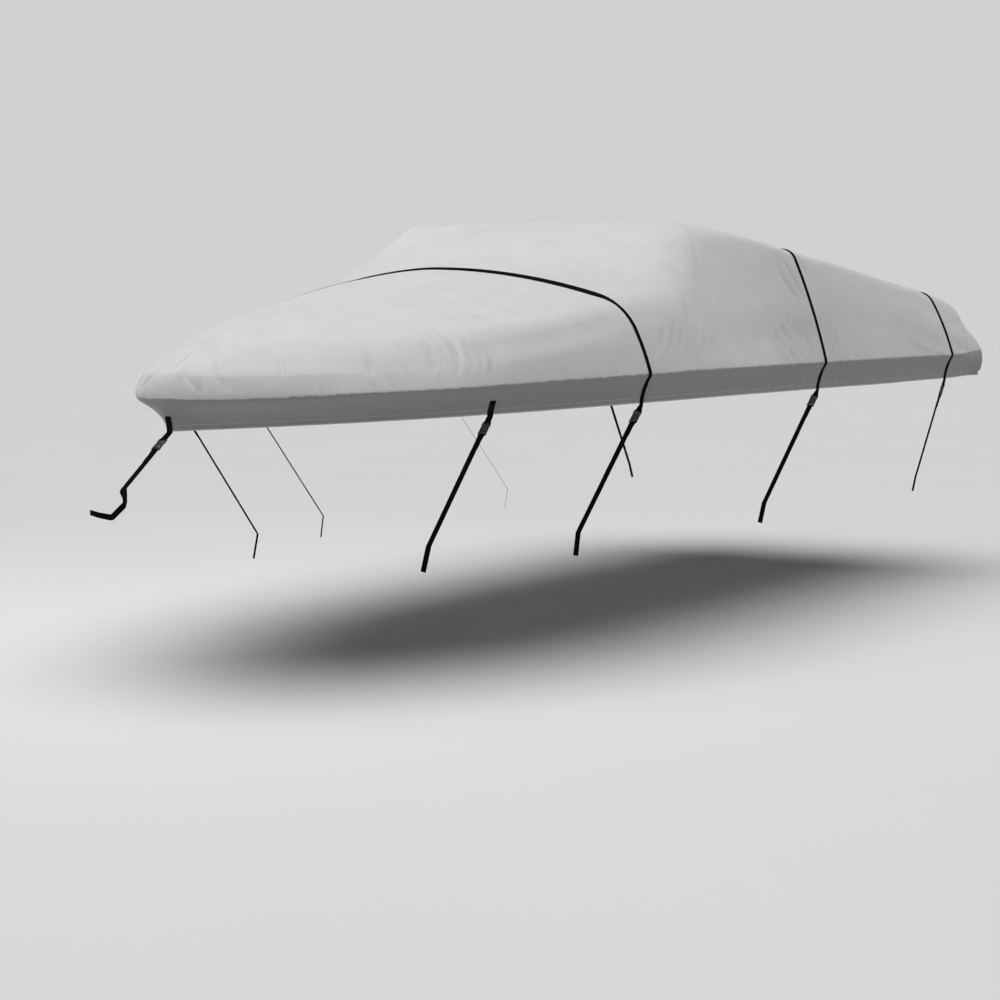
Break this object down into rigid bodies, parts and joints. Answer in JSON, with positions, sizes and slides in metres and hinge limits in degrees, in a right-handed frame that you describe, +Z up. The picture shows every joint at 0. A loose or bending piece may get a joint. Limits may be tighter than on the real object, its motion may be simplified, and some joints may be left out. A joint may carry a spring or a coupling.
{
  "type": "boat cover",
  "caption": "Fitted grey cloth cover for an open motor boat, drawn tight over bow, crest and stern, with webbing straps, side-release buckles, side ties and a bow strap.",
  "frame": {"origin": "underside of the cloth at the middle of the crest, the highest place of the cover", "axes": "+Z up, +X from the bow towards the stern, +Y to starboard"},
  "size_m": [6.0517, 2.2496, 1.4626],
  "materials": {
    "cover_cloth": "light grey woven polyester, tight, faint sheen",
    "webbing": "near-black flat webbing",
    "buckle_plastic": "black moulded plastic, low gloss"
  },
  "bodies": {
    "root": {"cover": "cover_cloth", "strap_fore": "webbing", "strap_mid": "webbing", "strap_aft": "webbing", "lower_web_fore_port": "webbing", "lower_web_fore_starboard": "webbing", "lower_web_mid_port": "webbing", "lower_web_mid_starboard": "webbing", "lower_web_aft_port": "webbing", "lower_web_aft_starboard": "webbing", "tie_tab_port": "webbing", "tie_tab_starboard": "webbing", "tie_web_port": "webbing", "tie_web_starboard": "webbing", "bow_tab": "webbing", "bow_web": "webbing", "buckle_fore_port": "buckle_plastic", "buckle_fore_starboard": "buckle_plastic", "buckle_mid_port": "buckle_plastic", "buckle_mid_starboard": "buckle_plastic", "buckle_aft_port": "buckle_plastic", "buckle_aft_starboard": "buckle_plastic", "buckle_tie_port": "buckle_plastic", "buckle_tie_starboard": "buckle_plastic", "buckle_bow": "buckle_plastic"}
  },
  "joints": []
}
